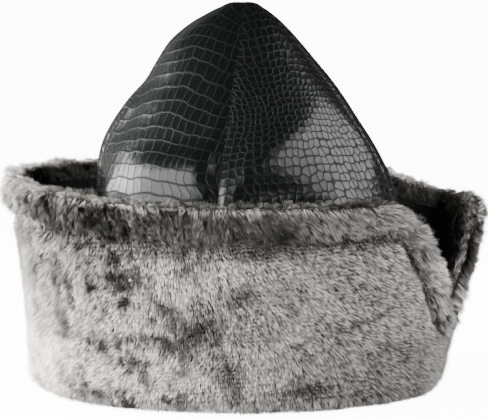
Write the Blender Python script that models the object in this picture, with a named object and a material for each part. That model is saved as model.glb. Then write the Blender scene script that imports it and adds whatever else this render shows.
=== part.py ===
"""A bork hat: a pointed crown sewn from four leather gores, inside a turned-up cuff of deep fur.

The cuff is one strip of pelt. Its two ends are sewn together low down and stand apart above that in a
V-shaped notch. A thin dark lining faces its inner side. The hat stands on the fold of the cuff.

Units are metres, +Z is up and the front of the hat faces -Y. The sizes and tables below are in
millimetres and degrees, and MM turns them into metres when a mesh is made. Azimuths are measured
round the hat from the front, positive towards +X.
"""

from math import radians

import bmesh
import bpy
import numpy as np

MM = 0.001

# Driving sizes
HEAD_RADIUS = 93.8
LEATHER = 2.2
FOOT_RADIUS = HEAD_RADIUS + LEATHER
SEAM_GAP = 0.3
CROWN_FOOT = 3.0
PELT = 15.0
LINING = 1.2

# The crown, one row for each level: how far it reaches from the hat's axis on each side
CROWN_COLUMNS = ("height", "left", "right", "front", "back")
CROWN_SECTIONS = (
    (CROWN_FOOT, FOOT_RADIUS, FOOT_RADIUS, FOOT_RADIUS, FOOT_RADIUS),
    (22, FOOT_RADIUS, FOOT_RADIUS, FOOT_RADIUS, FOOT_RADIUS),
    (50, 93.5, 95, 94, 94),
    (80, 87.5, 92.5, 92, 91),
    (105, 83.5, 89, 89, 88),
    (120, 82.4, 84.8, 84, 84),
    (131, 82.0, 79.8, 79, 81),
    (142, 79.2, 73.8, 73, 76),
    (154, 72.8, 65.8, 66, 69),
    (165, 65.4, 58.8, 59.5, 62),
    (176, 55.6, 51.1, 52, 54),
    (188, 48.2, 41.4, 43, 44),
    (199, 41, 32.4, 35, 36),
    (208, 31, 24.4, 27, 27.5),
    (214, 21.5, 18, 19.5, 19.5),
    (218.6, 12.8, 11.8, 12.2, 12.2),
    (221.2, 7, 7.4, 7.2, 7.2),
    (221.8, 0.8, 0.8, 0.8, 0.8),
)

# The seams between the gores, one row each: the azimuth where a seam leaves the foot and meets the tip
SEAM_COLUMNS = ("seam", "at_foot", "at_tip")
SEAMS = (
    ("left", -77, -80),
    ("front", -9.5, 2),
    ("right", 80, 64),
    ("back", 172, 180),
)
SEAM_BEND = 5
GORES = ("gore_front_left", "gore_front_right", "gore_back_right", "gore_back_left")
PUFF = 3.0
SEAM_DIP = 2.4
SEAM_REACH = 7.0
PUFF_STARTS = 22.0
PUFF_FULL = 60.0

# Dents and swellings of the leather, one row each, with the gore they are in. Depth is inwards, and
# slant turns the long way from level towards the hat's right and up.
DENT_COLUMNS = ("gore", "azimuth", "height", "half_length", "half_width", "slant", "depth")
DENTS = (
    ("gore_front_left", -11, 136, 45, 10.2, 10, -3.0),
    ("gore_front_left", -24, 145, 29, 7, 7, 1.7),
    ("gore_front_left", -10, 135, 10, 15.3, 86, -2.5),
    ("gore_front_left", -61, 112, 12, 8.6, -90, -2.5),
    ("gore_front_left", -66, 157, 45, 19.9, 6, 3.8),
    ("gore_front_right", 30, 126, 45, 16.1, 24, 1.7),
    ("gore_front_right", 16, 119, 23, 7.6, -2, 2.3),
    ("gore_front_right", 15, 111, 25, 13.2, 48, 0.8),
    ("gore_front_right", 55, 120, 20, 14.6, 72, 2.4),
    ("gore_front_right", 6, 135, 41, 9.7, 36, -2.9),
    ("gore_front_right", 65, 147, 10, 19.5, 13, -3.0),
    ("gore_front_right", 64, 129, 19, 6.5, 36, -0.7),
    ("gore_back_right", 128, 125, 30, 10, -24, 2.2),
    ("gore_back_left", -125, 119, 32, 11, 20, 2.0),
    ("gore_back_left", -150, 158, 24, 9, 34, 1.8),
    ("gore_back_left", -88, 177, 14, 6, 60, 2.6),
)

# The cuff, one row for each station from its back end round the hat to its front end. The wall flares
# from foot to rim by this power of the height. A fifth of a degree is left between the ends.
CUFF_COLUMNS = ("azimuth", "foot_reach", "rim_reach", "rim_height", "flare", "rim_swell")
CUFF_STATIONS = (
    (-282.8, 117, 150, 109.5, 1.4, 0.5),
    (-263, 117, 149, 109.5, 1.4, 0.5),
    (-250, 117.5, 144, 112, 1.4, 0.5),
    (-238, 118, 140, 119, 1.4, 0.8),
    (-222, 119, 137, 126.5, 1.5, 1.0),
    (-200, 119.5, 136, 126.5, 1.5, 1.5),
    (-180, 119.5, 135.5, 124.5, 1.6, 1.5),
    (-135, 121, 136.5, 124, 1.7, 2.0),
    (-90, 123.5, 138, 125, 1.8, 2.5),
    (-62, 122, 136, 122.5, 1.8, 3.0),
    (-36, 121, 132.5, 120.5, 1.6, 2.5),
    (-14, 120, 131.5, 118, 1.5, 2.0),
    (10, 120, 132, 117.5, 1.4, 1.8),
    (45, 119.5, 134.5, 117, 1.3, 1.5),
    (60, 118.5, 136, 117, 1.2, 1.0),
    (77, 117, 147, 116.5, 1.2, 0.5),
)
CUFF_BACK_END = CUFF_STATIONS[0][0]
CUFF_FRONT_END = CUFF_STATIONS[-1][0]
NOTCH_FOOT = 38.0
BACK_LEAN = 0.28
FRONT_LEAN = 0.37
BACK_CORNER = 13.0
FRONT_CORNER = 20.0
EDGE_ROUND = 9.0
EDGE_LEAST = 1.6
STITCH_INSET = 20.0
STITCH_HALF = 4.5
STITCH_DEPTH = 2.2
END_SEAM_FULL = 0.62
FACING = 11.0
FACING_SWELL = 2.5
LINING_CLEARANCE = 0.5

# The turn under the cuff, one row each: the share of the way from the crown's foot out to the
# cuff's wall, and the height
TURN_COLUMNS = ("share_out", "height")
TURN_OUTSIDE = ((0.014, 5.5), (0.08, 1.6), (0.24, 0.0), (0.52, 0.0), (0.76, 1.3), (0.93, 4.8))
TURN_INSIDE = ((0.014, 14.0), (0.15, 18.0))
TURN_ENDS = 11.0
INSIDE_STARTS = 25.0

# The fur's locks: each is two columns of the mesh wide, swells towards its lower tip and drops there
LOCK_ROWS = 4
LOCK_STEPS = (0.0, 0.36, 0.76)
LOCK_SWELL = (1.0, 0.75, 0.3)
LOCK_RELIEF = 4.2
ROLL_ROWS = (26.5, 20.5, 14.5, 9.0, 4.5, 1.5, 0.0)
ROLL_SWELL = (0.0, 0.2, 0.8, 0.7, 0.3, 0.0, 0.0)

# How finely the meshes are cut
GORE_COLUMNS = 10
CUFF_MIDDLE_COLUMNS = 93
CUFF_END_STEPS = (0.0, 1.6, 4.2, 8.0, 12.8, 18.5)
LINING_COLUMNS = (4, 12)
LINING_ROWS = (0.0, 0.33, 0.66, 1.0)
FACING_ROWS = (7.0, 3.5, 1.3, 0.0)

# Colours
LEATHER_BLACK = (0.012, 0.013, 0.013, 1.0)
FUR_GREY = (0.30, 0.29, 0.27, 1.0)
LINING_BLACK = (0.008, 0.008, 0.009, 1.0)


def table(rows, columns):
    """The rows of a table as one array for each named column."""
    return {name: np.array([row[k] for row in rows], float) for k, name in enumerate(columns)}


def smooth_step(x):
    x = np.clip(x, 0.0, 1.0)
    return x * x * (3 - 2 * x)


def through(at, places, values):
    """A smooth curve through a column of values. Its slope at a row is the mean of both sides'."""
    k = np.clip(np.searchsorted(places, at) - 1, 0, len(places) - 2)
    gaps = np.diff(places)
    rises = np.diff(values) / gaps
    slopes = (np.append(rises[:1], rises) + np.append(rises, rises[-1:])) / 2
    t = np.clip((at - places[k]) / gaps[k], 0.0, 1.0)
    near = (2 * t**3 - 3 * t**2 + 1) * values[k] + (t**3 - 2 * t**2 + t) * gaps[k] * slopes[k]
    far = (3 * t**2 - 2 * t**3) * values[k + 1] + (t**3 - t**2) * gaps[k] * slopes[k + 1]
    return near + far


def around(radius, azimuth, height):
    """Points at an azimuth, in millimetres. Azimuth 0 is the front, at -Y."""
    turn = np.radians(azimuth)
    return np.stack(np.broadcast_arrays(radius * np.sin(turn), -radius * np.cos(turn), height), -1)


CROWN = table(CROWN_SECTIONS, CROWN_COLUMNS)
CROWN_LEVELS = np.arange(len(CROWN_SECTIONS), dtype=float)
CUFF = table(CUFF_STATIONS, CUFF_COLUMNS)


def crown_height(level):
    """The height at a level, which counts the rows of the crown's table."""
    return through(level, CROWN_LEVELS, CROWN["height"])


def crown_reach(azimuth, level):
    """The crown's plain radius, blended from its four sides."""
    ahead, aside = np.cos(np.radians(azimuth)), np.sin(np.radians(azimuth))
    front, back, right, left = (
        through(level, CROWN_LEVELS, CROWN[side]) for side in ("front", "back", "right", "left")
    )
    return ahead**2 * np.where(ahead > 0, front, back) + aside**2 * np.where(aside > 0, right, left)


def dent_depth(gore, azimuth, height, radius):
    """How far a gore's own dents press its leather in, or swell it where negative."""
    depth = 0.0
    for owner, place, middle, half_length, half_width, slant, deep in DENTS:
        if owner != GORES[gore]:
            continue
        aside = np.radians((azimuth - place + 180) % 360 - 180) * radius
        above = height - middle
        slope = radians(slant)
        along = aside * np.cos(slope) + above * np.sin(slope)
        across = above * np.cos(slope) - aside * np.sin(slope)
        depth = depth + deep * np.exp(-((along / half_length) ** 2) - (across / half_width) ** 2)
    return depth


def seam_azimuth(seam, height):
    """The azimuth of a seam at a height. Seams turn mostly near the tip."""
    _, at_foot, at_tip = SEAMS[seam % len(SEAMS)]
    climbed = (height - CROWN_FOOT) / (CROWN["height"][-1] - CROWN_FOOT)
    return at_foot + (at_tip - at_foot) * climbed**SEAM_BEND + 360 * (seam // len(SEAMS))


def gore_surface(gore, share, level):
    """Points of a gore's outer face, and the way inwards. share runs from one seam to the next."""
    height = crown_height(level)
    first, last = seam_azimuth(gore, height), seam_azimuth(gore + 1, height)
    azimuth = first + (last - first) * share
    radius = crown_reach(azimuth, level)
    azimuth = azimuth + np.degrees(SEAM_GAP / 2 / radius) * (1 - 2 * share)
    from_seam = np.radians(last - first) * radius * np.minimum(share, 1 - share)
    dip = SEAM_DIP * (1 - smooth_step(from_seam / SEAM_REACH)) - PUFF * np.sin(np.pi * share)
    free = smooth_step((height - PUFF_STARTS) / (PUFF_FULL - PUFF_STARTS))
    free = free * np.minimum(1.4 * radius / FOOT_RADIUS, 1.0)
    dents = dent_depth(gore, azimuth, height, radius) * smooth_step(from_seam / SEAM_REACH)
    pressed = (dip + dents) * free
    rise = crown_height(level + 0.05) - crown_height(level - 0.05)
    shift = crown_reach(azimuth, level + 0.05) - crown_reach(azimuth, level - 0.05)
    steep = np.hypot(rise, shift)
    inwards = around(-rise / steep, azimuth, shift / steep)
    return around(radius, azimuth, height) + inwards * pressed[..., None], inwards


def gore_columns(gore):
    """The outer and inner chains of a gore from seam to seam. Columns crowd towards the seams."""
    last = len(CROWN_SECTIONS) - 1
    outer_levels = np.array([k / 2 for k in range(2 * last + 1) if k % 2 == 0 or 8 < k < 2 * last - 2])
    inner_levels = np.array([0, 2, 4, 6, 8, 10, 12, 14, 15, 16, 17], float)
    share = (1 - np.cos(np.pi * np.arange(GORE_COLUMNS + 1) / GORE_COLUMNS))[:, None] / 2
    outside, _ = gore_surface(gore, share, outer_levels[None])
    inside, inwards = gore_surface(gore, share, inner_levels[None])
    return list(zip(outside, inside + inwards * LEATHER))


def cuff_ends(height):
    """The azimuths of the strip's two ends. They part above the foot of the notch."""
    above = np.maximum(height, NOTCH_FOOT) - NOTCH_FOOT
    return CUFF_BACK_END + BACK_LEAN * above, CUFF_FRONT_END - FRONT_LEAN * above


def cuff_azimuth(share, height):
    first, last = cuff_ends(height)
    return first + (last - first) * share


def cuff_station(column, azimuth):
    return through(azimuth, CUFF["azimuth"], CUFF[column])


def from_ends(share, height):
    """The distance from the nearer end of the strip, square to that end."""
    first, last = cuff_ends(height)
    reach = cuff_station("rim_reach", cuff_azimuth(share, height))
    lean = np.where(share < 0.5, BACK_LEAN, FRONT_LEAN)
    slant = np.where(height > NOTCH_FOOT, np.radians(lean) * reach, 0.0)
    return np.radians(last - first) * np.minimum(share, 1 - share) * reach / np.hypot(1, slant)


def rim_top(share):
    """The height of the rim, which rounds down at the corners of both ends."""
    height = cuff_station("rim_height", CUFF_BACK_END + (CUFF_FRONT_END - CUFF_BACK_END) * share)
    corner = np.where(share < 0.5, BACK_CORNER, FRONT_CORNER)
    short = np.maximum(corner - from_ends(share, height), 0.0)
    return height - corner + np.sqrt(corner**2 - short**2)


def edge_distances(share, height):
    """The distances from the nearest free edge and from the rim above."""
    below = np.maximum(rim_top(share) - height, 0.0)
    aside = from_ends(share, height)
    reach = STITCH_INSET + STITCH_HALF + 1
    near = (below < reach) & (aside < reach)
    around_corner = reach - np.hypot(reach - below, reach - aside)
    return np.maximum(np.where(near, around_corner, np.minimum(below, aside)), 0.0), below


def cuff_wall(share, height, side, relief=0.0):
    """Points of the cuff's wall. side is 1 on the fur and -1 on the inner face."""
    azimuth = cuff_azimuth(share, height)
    foot = cuff_station("foot_reach", azimuth)
    rim = cuff_station("rim_reach", azimuth)
    rise = np.maximum(height, 0.0) / cuff_station("rim_height", azimuth)
    outer = foot + (rim - foot) * rise ** cuff_station("flare", azimuth)
    edge, below = edge_distances(share, height)
    at_end = smooth_step((below - edge) / 6)
    above_notch = smooth_step((height - NOTCH_FOOT + 6) / 14)
    shut = at_end * (1 - above_notch)
    full = np.sqrt(1 - (1 - np.minimum(edge / EDGE_ROUND, 1.0)) ** 2)
    full = np.maximum(np.maximum(full, END_SEAM_FULL * shut), EDGE_LEAST / PELT)
    middle = outer - PELT / 2
    if side > 0:
        roll = cuff_station("rim_swell", azimuth) * smooth_step((STITCH_INSET + 6 - edge) / 10)
        stitch = STITCH_DEPTH * np.exp(-(((edge - STITCH_INSET) / STITCH_HALF) ** 2))
        stitch = stitch * (1 - at_end * (1 - above_notch))
        lift = relief * smooth_step((edge - 4) / 12)
        return around(middle + (PELT / 2 + roll * (1 - shut)) * full - stitch + lift, azimuth, height)
    swell = FACING_SWELL * smooth_step((FACING - edge) / 4)
    return around(middle - (PELT / 2 + swell) * full, azimuth, height)


def cuff_shares():
    """The columns of the cuff as shares of its length. They crowd towards both ends."""
    length = radians(CUFF_FRONT_END - CUFF_BACK_END) * CUFF["rim_reach"].mean()
    near = np.array(CUFF_END_STEPS) / length
    between = np.linspace(near[-1], 1 - near[-1], CUFF_MIDDLE_COLUMNS + 2)[1:-1]
    return np.concatenate([near, between, 1 - near[::-1]])


def turned(share, share_out, height):
    """Points of the turn under the cuff, where the wall is fused to the crown's foot."""
    azimuth = CUFF_BACK_END + (CUFF_FRONT_END - CUFF_BACK_END) * share
    reach = FOOT_RADIUS + (cuff_station("foot_reach", azimuth) - FOOT_RADIUS) * share_out
    return around(reach, azimuth, height)


def uneven(column, row):
    """A fixed scatter between 0 and 1, so that no two locks are the same."""
    return np.mod(np.sin(column * 12.9898 + row * 78.233) * 43758.5453, 1.0)


def lock_relief(column, row, swell):
    """How far a lock stands out. Locks of neighbouring rows are staggered."""
    ridge = (column // 2 * 2 == column) != (row % 2 == 1)
    return LOCK_RELIEF * (swell * ridge * (0.7 + 0.6 * uneven(column, row)) - 0.35)


def cuff_columns():
    """The outer and inner chains of the cuff, both from the turn up to the rim."""
    share = cuff_shares()
    column = np.arange(len(share))
    top = rim_top(share)
    outside = [turned(share, *row) for row in TURN_OUTSIDE]
    lock_top = top - ROLL_ROWS[0]
    for lock in range(LOCK_ROWS):
        for step, swell in zip(LOCK_STEPS, LOCK_SWELL):
            rise = (lock + step) / LOCK_ROWS
            height = TURN_ENDS + (lock_top - TURN_ENDS) * rise
            fade = smooth_step((height - 9) / 12)
            outside.append(cuff_wall(share, height, 1, fade * lock_relief(column, lock, swell)))
    for drop, swell in zip(ROLL_ROWS, ROLL_SWELL):
        fade = smooth_step(drop / 8)
        outside.append(cuff_wall(share, top - drop, 1, fade * lock_relief(column, LOCK_ROWS, swell)))
    inside = [turned(share, *row) for row in TURN_INSIDE]
    inside += [inside_row(share, row) for row in LINING_ROWS]
    inside += [cuff_wall(share, top - drop, -1) for drop in FACING_ROWS]
    return list(zip(np.stack(outside, 1), np.stack(inside, 1)))


def inside_row(share, row):
    """The inner face where the lining lies. Row 0 is just above the turn and row 1 at the facing."""
    return cuff_wall(share, INSIDE_STARTS + (rim_top(share) - FACING - INSIDE_STARTS) * row, -1)


def lining_columns():
    """The lining's two faces, a small clearance inside the cuff's inner face. It starts where the facing
    of each end stops, with the cuff's own columns, and follows every second one further in."""
    share = cuff_shares()
    last = len(share) - 1
    near_end, plain = LINING_COLUMNS
    kept = [k for k in range(near_end, last - near_end + 1) if k % 2 == 0 or min(k, last - k) < plain]
    share = share[kept]
    chains = []
    for chain in np.stack([inside_row(share, row) for row in LINING_ROWS], 1):
        climb = np.gradient(chain, axis=0)
        climb /= np.linalg.norm(climb, axis=1)[:, None]
        outwards = chain * (1, 1, 0)
        outwards /= np.linalg.norm(outwards, axis=1)[:, None]
        inwards = climb * (climb * outwards).sum(1)[:, None] - outwards
        chains.append((chain + inwards * LINING_CLEARANCE, chain + inwards * (LINING_CLEARANCE + LINING)))
    return chains


def zipped(first, second):
    """Triangles between two chains of points that start and end beside each other."""
    faces = []
    i = j = 0
    while i < len(first) - 1 or j < len(second) - 1:
        first_next = (i + 1) / len(first) <= (j + 1) / len(second)
        if j == len(second) - 1 or (i < len(first) - 1 and first_next):
            faces.append((first[i], first[i + 1], second[j]))
            i += 1
        else:
            faces.append((first[i], second[j + 1], second[j]))
            j += 1
    return faces


def halved(a, b, c, d):
    """Two triangles of a four-cornered patch, cut along its shorter diagonal. Neighbouring pieces
    are cut alike, so that their facets stay clear of each other."""
    if (a.co - c.co).length <= (b.co - d.co).length:
        return (a, b, c), (a, c, d)
    return (a, b, d), (b, c, d)


def material(name, colour, roughness):
    made = bpy.data.materials.new(name)
    made.use_nodes = True
    shader = made.node_tree.nodes["Principled BSDF"]
    shader.inputs["Base Color"].default_value = colour
    shader.inputs["Roughness"].default_value = roughness
    made.diffuse_color = colour
    return made


def lofted(name, columns, finish):
    """A closed solid through columns, each an outer and an inner chain of points."""
    work = bmesh.new()
    chains = [
        [[work.verts.new(point) for point in chain * MM] for chain in column] for column in columns
    ]
    for (outer_a, inner_a), (outer_b, inner_b) in zip(chains, chains[1:]):
        loop_a = outer_a + inner_a[::-1]
        loop_b = outer_b + inner_b[::-1]
        for k in range(len(loop_a)):
            after = (k + 1) % len(loop_a)
            for corners in halved(loop_a[k], loop_a[after], loop_b[after], loop_b[k]):
                work.faces.new(corners)
    for outer, inner in (chains[0], chains[-1]):
        for corners in zipped(outer, inner):
            work.faces.new(corners)
    bmesh.ops.recalc_face_normals(work, faces=work.faces)
    mesh = bpy.data.meshes.new(name)
    work.to_mesh(mesh)
    work.free()
    mesh.shade_smooth()
    mesh.set_sharp_from_angle(angle=radians(60))
    mesh.materials.append(finish)
    made = bpy.data.objects.new(name, mesh)
    bpy.context.scene.collection.objects.link(made)
    return made


def make_crown(finish):
    return [lofted(name, gore_columns(gore), finish) for gore, name in enumerate(GORES)]


def centre_on_footprint(parts):
    """Moves the hat sideways so that the middle of its box is over the origin."""
    corners = np.array([vertex.co for part in parts for vertex in part.data.vertices])
    middle = (corners.min(0) + corners.max(0)) / 2
    for part in parts:
        for vertex in part.data.vertices:
            vertex.co.x -= middle[0]
            vertex.co.y -= middle[1]
    print(f"moved by {-middle[0] / MM:.2f}, {-middle[1] / MM:.2f} mm")


def main():
    for old in list(bpy.data.objects):
        bpy.data.objects.remove(old, do_unlink=True)
    leather = material("black_leather", LEATHER_BLACK, 0.28)
    fur = material("grey_fur", FUR_GREY, 0.9)
    cloth = material("black_lining", LINING_BLACK, 0.85)
    parts = make_crown(leather)
    parts.append(lofted("fur_cuff", cuff_columns(), fur))
    parts.append(lofted("cuff_lining", lining_columns(), cloth))
    centre_on_footprint(parts)


main()
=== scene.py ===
# %% [markdown]
# # A leather hat with a deep fur cuff
#
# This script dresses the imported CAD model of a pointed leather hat: embossed leather for the four
# gores of the crown, a thick silver-grey pile on the turned-up cuff, and a woven lining behind it.
#
# The CAD model fixes the size and place of everything. It is imported as a frame and isn't changed.
# Each visual piece follows the same formulas as the CAD solids, cut more finely, so that it lies
# where its solid lies. Distances in the tables are millimetres, angles are degrees, and azimuths
# are measured round the hat from the front (-Y), positive towards +X. Left and right are as the
# photograph shows them, so left is towards -X.

from math import cos, radians, sin, tan

import bpy
import numpy as np
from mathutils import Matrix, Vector


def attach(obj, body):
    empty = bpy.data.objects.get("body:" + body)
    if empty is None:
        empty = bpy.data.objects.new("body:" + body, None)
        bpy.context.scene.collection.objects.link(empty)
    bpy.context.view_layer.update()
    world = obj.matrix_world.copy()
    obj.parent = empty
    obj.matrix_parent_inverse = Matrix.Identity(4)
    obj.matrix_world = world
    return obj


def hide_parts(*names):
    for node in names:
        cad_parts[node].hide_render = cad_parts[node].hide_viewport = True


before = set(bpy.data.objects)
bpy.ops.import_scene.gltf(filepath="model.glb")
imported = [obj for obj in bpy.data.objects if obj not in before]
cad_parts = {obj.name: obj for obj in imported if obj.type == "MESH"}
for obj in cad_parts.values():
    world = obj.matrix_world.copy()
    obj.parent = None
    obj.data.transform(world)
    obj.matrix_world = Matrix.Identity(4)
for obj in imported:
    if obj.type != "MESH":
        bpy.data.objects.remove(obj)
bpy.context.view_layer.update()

# %% [markdown]
# ## Sizes
#
# These values describe the same hat as the CAD source does. `PLACED` is how far the CAD source
# moved its parts to put the middle of the footprint over the origin.

# %% Sizes
MM = 0.001
PLACED = np.array([-1.29, -1.36, 0.0])
HEAD_RADIUS = 93.8
LEATHER = 2.2
FOOT_RADIUS = HEAD_RADIUS + LEATHER
SEAM_GAP = 0.02
CROWN_FOOT = 3.0
print("the crown's foot is", 2 * FOOT_RADIUS, "mm across")

# %% [markdown]
# ## The crown's shape
#
# Each row of the first table is one level of the crown: its height, and how far it reaches from the
# axis on each of the four sides. The seams between the gores turn a little as they climb, and the
# leather dips into them on both sides. The dents are the soft folds of the leather, which the light
# shows as broad highlights and valleys.

# %% The crown's tables
CROWN_COLUMNS = ("height", "left", "right", "front", "back")
CROWN_SECTIONS = (
    (CROWN_FOOT, FOOT_RADIUS, FOOT_RADIUS, FOOT_RADIUS, FOOT_RADIUS),
    (22, FOOT_RADIUS, FOOT_RADIUS, FOOT_RADIUS, FOOT_RADIUS),
    (50, 93.5, 95, 94, 94),
    (80, 87.5, 92.5, 92, 91),
    (105, 83.5, 89, 89, 88),
    (120, 82.4, 84.8, 84, 84),
    (131, 82.0, 79.8, 79, 81),
    (142, 79.2, 73.8, 73, 76),
    (154, 72.8, 65.8, 66, 69),
    (165, 65.4, 58.8, 59.5, 62),
    (176, 55.6, 51.1, 52, 54),
    (188, 48.2, 41.4, 43, 44),
    (199, 41, 32.4, 35, 36),
    (208, 31, 24.4, 27, 27.5),
    (214, 21.5, 18, 19.5, 19.5),
    (218.6, 12.8, 11.8, 12.2, 12.2),
    (221.2, 7, 7.4, 7.2, 7.2),
    (221.8, 0.8, 0.8, 0.8, 0.8),
)
# Seam, azimuth at the foot, azimuth at the tip
SEAMS = (
    ("left", -80, -84),
    ("front", -9.5, 2),
    ("right", 80, 64),
    ("back", 172, 180),
)
SEAM_BEND = 5
# Seam, depth of the dip low down and high up, its reach before and past the seam
SEAM_DIPS = (
    ("left", 1.0, 0.9, 3.0, 3.5),
    ("front", 2.3, 0.7, 7.0, 3.8),
    ("right", 1.6, 1.0, 4.5, 4.5),
    ("back", 2.0, 1.4, 6.0, 6.0),
)
# For each gore: azimuth, height, half length, half width, slant and depth of its dents
DENTS = {
    "gore_front_left": (
        (-11, 136, 45, 10.2, 10, -3.0),
        (-24, 145, 29, 7, 7, 1.7),
        (-12, 134, 10, 15.3, 86, -1.4),
        (-61, 112, 12, 8.6, -90, -2.5),
        (-66, 157, 45, 19.9, 6, 3.8),
    ),
    "gore_front_right": (
        (30, 126, 45, 16.1, 24, 1.7),
        (16, 119, 23, 7.6, -2, 2.3),
        (15, 111, 25, 13.2, 48, 0.8),
        (55, 120, 20, 14.6, 72, 2.4),
        (6, 135, 41, 9.7, 36, -2.9),
        (65, 147, 10, 19.5, 13, -3.0),
        (64, 129, 19, 6.5, 36, -0.7),
    ),
    "gore_back_right": (
        (128, 125, 30, 10, -24, 2.2),
    ),
    "gore_back_left": (
        (-125, 119, 32, 11, 20, 2.0),
        (-150, 158, 24, 9, 34, 1.8),
        (-88, 177, 14, 6, 60, 2.6),
    ),
}
GORES = list(DENTS)
print("crown:", len(CROWN_SECTIONS), "levels,", len(SEAMS), "seams, and the gores", GORES)

# %% [markdown]
# The helpers below read smooth curves through the columns of a table. They take whole arrays, so
# one call makes all the points of a surface. `rising` and `falling` are the smooth steps that ease
# one shape into the next, and `marks` adds up oval dents, each with its own place and slant.

# %% Curves through tables
def table(rows, columns):
    """The rows of a table as one array for each named column."""
    return {name: np.array([row[k] for row in rows], float) for k, name in enumerate(columns)}


def smooth_step(x):
    x = np.clip(x, 0.0, 1.0)
    return x * x * (3 - 2 * x)


def rising(value, start, length):
    """0 up to a start, and smoothly up to 1 over a length."""
    return smooth_step((value - start) / length)


def falling(value, end, length):
    """0 from an end on, and smoothly up to 1 over a length before it."""
    return smooth_step((end - value) / length)


def through(at, places, values):
    """A smooth curve through a column of values. Its slope at a row is the mean of both sides'."""
    k = np.clip(np.searchsorted(places, at) - 1, 0, len(places) - 2)
    gaps = np.diff(places)
    rises = np.diff(values) / gaps
    slopes = (np.append(rises[:1], rises) + np.append(rises, rises[-1:])) / 2
    t = np.clip((at - places[k]) / gaps[k], 0.0, 1.0)
    near = (2 * t**3 - 3 * t**2 + 1) * values[k] + (t**3 - 2 * t**2 + t) * gaps[k] * slopes[k]
    far = (3 * t**2 - 2 * t**3) * values[k + 1] + (t**3 - t**2) * gaps[k] * slopes[k + 1]
    return near + far


def around(radius, azimuth, height):
    """Points at an azimuth, in millimetres. Azimuth 0 is the front, at -Y."""
    turn = np.radians(azimuth)
    return np.stack(np.broadcast_arrays(radius * np.sin(turn), -radius * np.cos(turn), height), -1)


def marks(rows, azimuth, height, radius):
    """The depth of oval marks. A row is azimuth, height, half length, half width, slant, depth."""
    depth = 0.0
    for place, middle, half_length, half_width, slant, deep in rows:
        aside = np.radians((azimuth - place + 180) % 360 - 180) * radius
        above = height - middle
        slope = radians(slant)
        along = aside * cos(slope) + above * sin(slope)
        across = above * cos(slope) - aside * sin(slope)
        depth = depth + deep * np.exp(-((along / half_length) ** 2) - (across / half_width) ** 2)
    return depth


CROWN = table(CROWN_SECTIONS, CROWN_COLUMNS)
CROWN_LEVELS = np.arange(len(CROWN_SECTIONS), dtype=float)
print("crown: up to", CROWN["height"][-1], "mm")


# %% [markdown]
# A point of a gore is found from its share of the way between two seams and its level. The plain
# radius is blended from the four sides, the middle of each gore puffs out, and the leather dips
# into the seams. Near the foot, where the head holds it, and at the tip the leather keeps its plain
# shape.

# %% The crown's surface
PUFF = 3.0
PUFF_STARTS, PUFF_EASE = 22.0, 38.0
TIP_HOLD = 1.4
DENT_EASE = 16.0
SEAM_CHANGES, SEAM_CHANGE = 114.0, 16.0
NEARBY = 0.05


def crown_height(level):
    return through(level, CROWN_LEVELS, CROWN["height"])


def crown_reach(azimuth, level):
    """The crown's plain radius, blended from its four sides."""
    ahead, aside = np.cos(np.radians(azimuth)), np.sin(np.radians(azimuth))
    front, back, right, left = (
        through(level, CROWN_LEVELS, CROWN[side]) for side in ("front", "back", "right", "left")
    )
    return ahead**2 * np.where(ahead > 0, front, back) + aside**2 * np.where(aside > 0, right, left)


def seam_azimuth(seam, height):
    """The azimuth of a seam at a height. Seams turn mostly near the tip."""
    _, at_foot, at_tip = SEAMS[seam % len(SEAMS)]
    climbed = (height - CROWN_FOOT) / (CROWN["height"][-1] - CROWN_FOOT)
    return at_foot + (at_tip - at_foot) * climbed**SEAM_BEND + 360 * (seam // len(SEAMS))


def seam_dip(seam, beyond, height):
    """How far the leather dips into a seam. beyond is the distance past it, negative before it."""
    _, low, high, before, after = SEAM_DIPS[seam % len(SEAM_DIPS)]
    depth = low + (high - low) * rising(height, SEAM_CHANGES, SEAM_CHANGE)
    return depth * (1 - smooth_step(np.abs(beyond) / np.where(beyond >= 0, after, before)))


def gore_azimuth(gore, share, height):
    """The azimuths of a gore's two seams, and of a share of the way between them."""
    first, last = seam_azimuth(gore, height), seam_azimuth(gore + 1, height)
    return first, last, first + (last - first) * share


def gore_surface(gore, share, level):
    """Points of a gore's outer face, and the way inwards. share runs from one seam to the next."""
    height = crown_height(level)
    first, last, azimuth = gore_azimuth(gore, share, height)
    radius = crown_reach(azimuth, level)
    azimuth = azimuth + np.degrees(SEAM_GAP / 2 / radius) * (1 - 2 * share)
    width = np.radians(last - first) * radius
    dip = seam_dip(gore, width * share, height) + seam_dip(gore + 1, -width * (1 - share), height)
    dip = dip - PUFF * np.sin(np.pi * share)
    free = rising(height, PUFF_STARTS, PUFF_EASE) * np.minimum(TIP_HOLD * radius / FOOT_RADIUS, 1.0)
    dents = marks(DENTS[GORES[gore]], azimuth, height, radius)
    dents = dents * smooth_step(width * np.minimum(share, 1 - share) / DENT_EASE)
    pressed = (dip + dents) * free
    rise = crown_height(level + NEARBY) - crown_height(level - NEARBY)
    shift = crown_reach(azimuth, level + NEARBY) - crown_reach(azimuth, level - NEARBY)
    steep = np.hypot(rise, shift)
    inwards = around(-rise / steep, azimuth, shift / steep)
    return around(radius, azimuth, height) + inwards * pressed[..., None], inwards


print("seams at the foot:", [float(seam_azimuth(k, CROWN_FOOT)) for k in range(len(SEAMS))])

# %% [markdown]
# ## Making meshes
#
# Every surface here is a grid of points, given as an array of rows and columns. `grid_faces` joins
# neighbouring points into four-cornered faces, and `make_mesh` moves the points to the frame of the
# CAD model and makes the object. A sheet with a thickness is a loop of rows, down its front and up
# its back, and `end_faces` closes its two open ends.

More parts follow.
